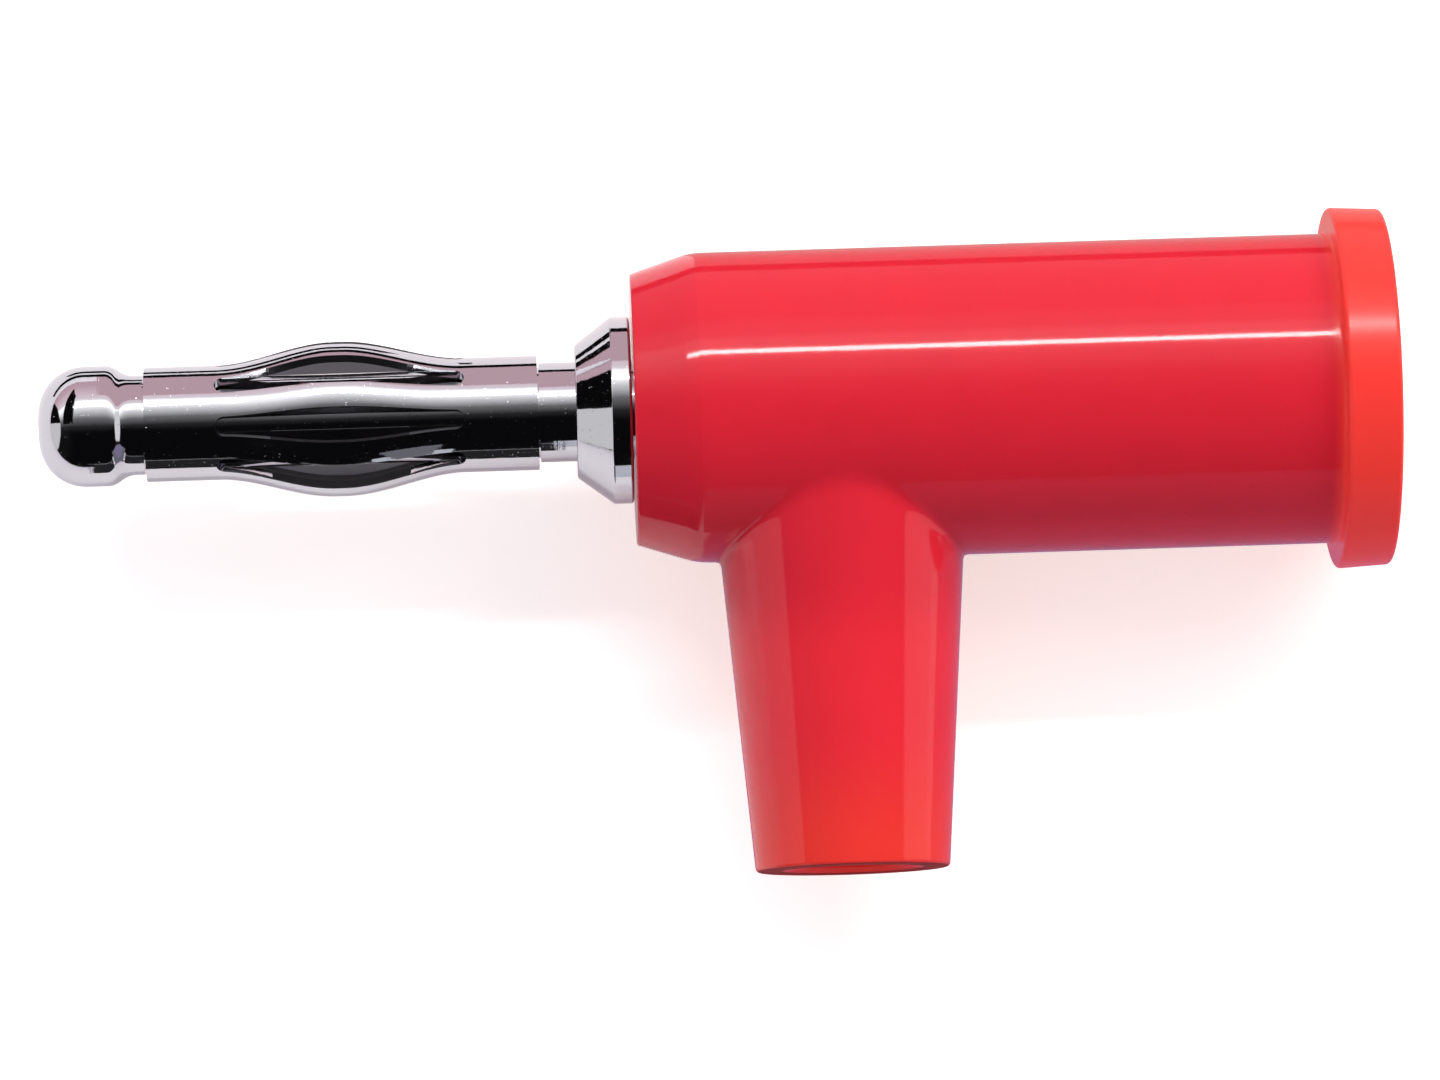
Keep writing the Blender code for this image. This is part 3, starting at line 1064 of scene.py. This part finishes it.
@dataclass
class Studio:
    """The pale table, the lamps, and the tent and cards round them that the metal mirrors.

    Table and tent are in metres, the shade under the slots in mm. Each band has its angle round the axis, in
    degrees from straight up and positive towards +Y, and its colour.
    """

    table_size: float = 6.0
    table_colour: str = "#F4F4F4"
    table_glow: float = 0.62
    table_mirrored_glow: float = 0.2
    glow_colour: str = "#FFFBF0"
    room_colour: str = "#ECE3FF"
    room_light: float = 0.47
    tent_radius: float = 0.7
    tent_length: float = 2.4
    tent_steps: int = 96
    tent_glow: float = 1.75
    bands: tuple[tuple[float, str], ...] = (
        (-90, "#080809"), (-21, "#080809"), (-15.7, "#0C0C0D"), (-5.7, "#242425"), (9.3, "#646465"),
        (24.3, "#C0C0C1"), (32.3, "#EEEEEF"), (39.5, "#FFFFFF"), (44.3, "#FFFFFF"), (47.5, "#CFC5C9"),
        (59, "#C6B1B8"), (80, "#B0949C"), (90, "#B0949C"),
    )
    lamps: tuple[StripLamp, ...] = field(default_factory=lambda: (
        StripLamp("strip_lamp", radians(34.6), 0.0, 0.6, 0.56, 0.030, 1.75),
        StripLamp(
            "soft_key", radians(36.0), radians(38.0), 0.6, 0.45, 0.45, 1.95, "#FFF0E0",
            in_reflections=False),
    ))
    cards: tuple[Card, ...] = (
        Card("rear_card", (-21, 15, -1.9), (40, 15, 11.6), "#C8A9B1", 1.27),
        Card("rear_card_foot", (-40, 15, -4.4), (40, 15, -1.9), "#0C0B0C"),
        Card("front_card", (-22, -24, -6), (-5, -24, 3.7), "#2C2C2E"),
        Card("front_card_edge", (-22, -24, 3.7), (-5, -24, 4.3), "#8A8A8C"),
        Card("front_light", (-5, -24, -1), (-2, -24, 6.5), "#D8DAE4"),
        Card("front_grey", (-2, -24, -6), (5.5, -24, 12), "#7C7C84"),
        Card("front_shade", (5.5, -24, -6), (60, -24, 12), "#8E86A6"),
        # Cards on the table's plane that only mirrors see: painted shade, the table dimmer and tinted in
        # reflections beside the plug.
        Card("front_floor_painted_shade", (-1, -40, -5.9), (45, 0, -5.9), "#A48CB0"),
        Card("rear_floor", (-1, 0, -5.9), (45, 30, -5.9), "#CDB8B6"),
        Card("rear_floor_shade", (-26, 11.3, -5.9), (-8, 15, -5.9), "#0C0B0C"),
        Card("left_card", (-26, 0, 5.5), (-26, 16, 12), "#0C0C0D"),
        Card("far_light", (-1200, -1500, -6), (-1200, 100, 1500), "#FFFFFF", 0.85),
        Card("far_dark", (-1200, 100, -6), (-1200, 1500, 1500), "#0C0C0D"),
    )
    shade_middle: Span = (-12.4, 0.65)
    shade_reach: Span = (4.3, 2.6)
    shade_height: float = 0.05
    shade_edge: float = 0.13
    shade_facing: Span = (0.055, 0.025)
    shade_colour: str = "#5C5C60"

    def table(self) -> Piece:
        """Lay the table under the plug, a plain sheet that stays white where nothing shades it.

        Returns:
            The table.
        """
        sheet = add_plane("table", self.table_size)
        nodes = Nodes(bpy.data.materials.new("white_table"))
        matt = nodes.add("BsdfDiffuse", {"Color": linear(self.table_colour)})
        mirrored = nodes.maths("MULTIPLY", self.seen_directly(nodes), self.table_mirrored_glow)
        direct = nodes.add("LightPath").outputs["Is Camera Ray"]
        power = nodes.maths("MULTIPLY_ADD", direct, self.table_glow - self.table_mirrored_glow, mirrored)
        shine = nodes.add("Emission", {"Color": linear(self.glow_colour), "Strength": power})
        both = nodes.add("AddShader", {0: matt.outputs["BSDF"], 1: shine.outputs["Emission"]})
        sheet.data.materials.append(nodes.surface(both))
        return sheet

    def slot_shade(self, centre: Vector) -> Piece:
        """Deepen the plug's own shadow on the table under the spring, seen from above through its slots.

        Args:
            centre: The middle of the plug's axis.

        Returns:
            The shaded patch, which fades out at its edges.
        """
        patch = add_plane("slot_shade")
        middle = Vector((0, centre.y, 0)) + Vector((*self.shade_middle, 0)) * MILLIMETRE
        reach = Vector(self.shade_reach) * MILLIMETRE
        height = self.shade_height * MILLIMETRE
        for vertex in patch.data.vertices:
            vertex.co = middle + Vector((vertex.co.x * reach.x, vertex.co.y * reach.y, height))
        nodes = Nodes(bpy.data.materials.new("slot_shade"))
        place = nodes.add("TexCoord").outputs["Object"]
        local = nodes.vectors("SUBTRACT", place, tuple(middle))
        spread = nodes.vectors("MULTIPLY", local, (1.0 / reach.x, 1.0 / reach.y, 0.0))
        within = nodes.ease(nodes.vectors("LENGTH", spread), (1.0, 1.0 - self.shade_edge))
        facing = nodes.add("LayerWeight", {"Blend": 0.5}).outputs["Facing"]
        shaded = nodes.maths("MULTIPLY", within, nodes.ease(facing, self.shade_facing))
        clear = nodes.add("BsdfTransparent")
        dark = nodes.add("BsdfDiffuse", {"Color": linear(self.shade_colour)})
        both = nodes.add("MixShader", {0: shaded, 1: clear.outputs["BSDF"], 2: dark.outputs["BSDF"]})
        patch.data.materials.append(nodes.surface(both))
        return patch

    @staticmethod
    def seen_directly(nodes: Nodes) -> Socket:
        """Tell the rays from the camera, a mirror or glass from light on other surfaces.

        Args:
            nodes: The nodes of the material or world.

        Returns:
            1 for the former and 0 for the latter.
        """
        path = nodes.add("LightPath").outputs
        mirror = nodes.maths("MAXIMUM", path["Is Camera Ray"], path["Is Glossy Ray"])
        return nodes.maths("MAXIMUM", mirror, path["Is Transmission Ray"])

    def tent(self, centre: Vector) -> Piece:
        """Arch a tent of dark and light cloth over the plug, which only mirrors see.

        Args:
            centre: The point on the plug's axis that the tent is arched round.

        Returns:
            The tent.
        """
        bpy.ops.mesh.primitive_grid_add(x_subdivisions=1, y_subdivisions=self.tent_steps, size=2.0)
        arch = bpy.context.active_object
        arch.name = "tent"
        for vertex in arch.data.vertices:
            angle = vertex.co.y * pi / 2
            vertex.co = centre + Vector((
                vertex.co.x * self.tent_length / 2,
                self.tent_radius * sin(angle),
                self.tent_radius * cos(angle),
            ))
        arch.data.update()
        arch.data.materials.append(self.tent_cloth(centre))
        show_to_mirrors(arch)
        return arch

    def tent_cloth(self, centre: Vector) -> Material:
        """Colour the tent's cloth in bands along the arch.

        Args:
            centre: The point that the tent is arched round.

        Returns:
            A glowing material in bands.
        """
        nodes = Nodes(bpy.data.materials.new("tent_cloth"))
        place = nodes.add("TexCoord").outputs["Object"]
        local = nodes.vectors("SUBTRACT", place, tuple(centre))
        parts = nodes.add("SeparateXYZ", {"Vector": local}).outputs
        angle = nodes.maths("ARCTAN2", parts["Y"], parts["Z"])
        share = nodes.remap(angle, (-pi / 2, pi / 2), WHOLE)
        ramp = nodes.add("ValToRGB", {"Fac": share})
        stops = ramp.color_ramp.elements
        while len(stops) > 1:
            stops.remove(stops[-1])
        for index, (degrees, colour) in enumerate(self.bands):
            position = (degrees + 90.0) / 180.0
            stop = stops.new(position) if index else stops[0]
            stop.position = position
            stop.color = linear(colour)
        glowing = nodes.add("Emission", {"Color": ramp.outputs["Color"], "Strength": self.tent_glow})
        return nodes.surface(glowing)

    def world(self) -> None:
        """Fill the room with even, faintly violet light, plainly white where it is seen."""
        room = bpy.data.worlds.new("studio_room")
        bpy.context.scene.world = room
        nodes = Nodes(room)
        seen = self.seen_directly(nodes)
        sky = nodes.add("Background", {
            "Color": nodes.mix(Mix.COLOUR, seen, linear(self.room_colour), linear(WHITE)),
            "Strength": nodes.remap(seen, WHOLE, (self.room_light, 1.0)),
        })
        nodes.add("OutputWorld", {"Surface": sky.outputs["Background"]})

    def build(self, seat: Seat) -> None:
        """Set up the studio round the plug.

        Args:
            seat: Where the plug lies.
        """
        centre = seat.centre()
        cards = [card.place(centre) for card in self.cards]
        self.table()
        self.slot_shade(centre)
        self.tent(centre)
        for lamp in self.lamps:
            lamp.place(centre)
        self.world()
        bpy.context.scene.view_settings.view_transform = "Standard"


class Plug:
    """The whole plug: builds each piece in the plug's frame, seats it in the world and dresses it."""

    def __init__(self, seat: Seat) -> None:
        """Keep where the plug lies and build its finishes.

        Args:
            seat: Where the plug lies.
        """
        self.seat = seat
        self.nickel = BrightNickel().build()
        self.sheet_nickel = BrightNickel("bright_nickel_sheet", inside_of=(seat.axis_y, seat.axis_z)).build()
        self.red = MouldedPolyamide().build()

    def reach(self, node: str) -> Span:
        """Give where a CAD node starts and ends along the axis, in mm."""
        low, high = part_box(node)
        return self.seat.along(low[0]), self.seat.along(high[0])

    def dress(self, piece: Piece, finish: Material, node: str, body: Body) -> None:
        """Seat a piece in the world, give it its finish and let it stand for its CAD node.

        Args:
            piece: The finished piece, in the plug's frame.
            finish: Its material.
            node: The CAD node that it stands for.
            body: The body that it rides on.
        """
        piece.data.transform(self.seat.matrix())
        piece.data.materials.clear()
        piece.data.materials.append(finish)
        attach(piece, body.value)
        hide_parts(node)
        log.info("%s: %d faces on %s", piece.name, len(piece.data.polygons), body.value)

    def build(self) -> None:
        """Build and dress the four pieces."""
        low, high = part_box("housing")
        flange_radius = (high[1] - self.seat.axis_y) / MILLIMETRE
        spout_reach = (self.seat.axis_y - low[1]) / MILLIMETRE
        housing = Housing(self.seat.along(high[0]), flange_radius, spout_reach).build()
        self.dress(housing, self.red, "housing", Body.PLUG)
        low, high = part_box("socket_sleeve")
        sleeve = SocketSleeve(*self.reach("socket_sleeve"), (high[1] - low[1]) / 2 / MILLIMETRE).build()
        self.dress(sleeve, self.nickel, "socket_sleeve", Body.PLUG)
        pin = ContactPin(*self.reach("contact_pin")).build()
        self.dress(pin, self.nickel, "contact_pin", Body.PIN)
        spring = LanternSpring(*self.reach("lantern_spring")).build()
        self.dress(spring, self.sheet_nickel, "lantern_spring", Body.SPRING)


def main() -> None:
    """Build the plug in its studio and log the face count of each piece."""
    logging.basicConfig(level=logging.INFO, format="%(name)s: %(message)s")
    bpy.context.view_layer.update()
    seat = Seat.from_frame()
    PhotoCamera().place(seat)
    Studio().build(seat)
    Plug(seat).build()


if __name__ == "__main__":
    main()
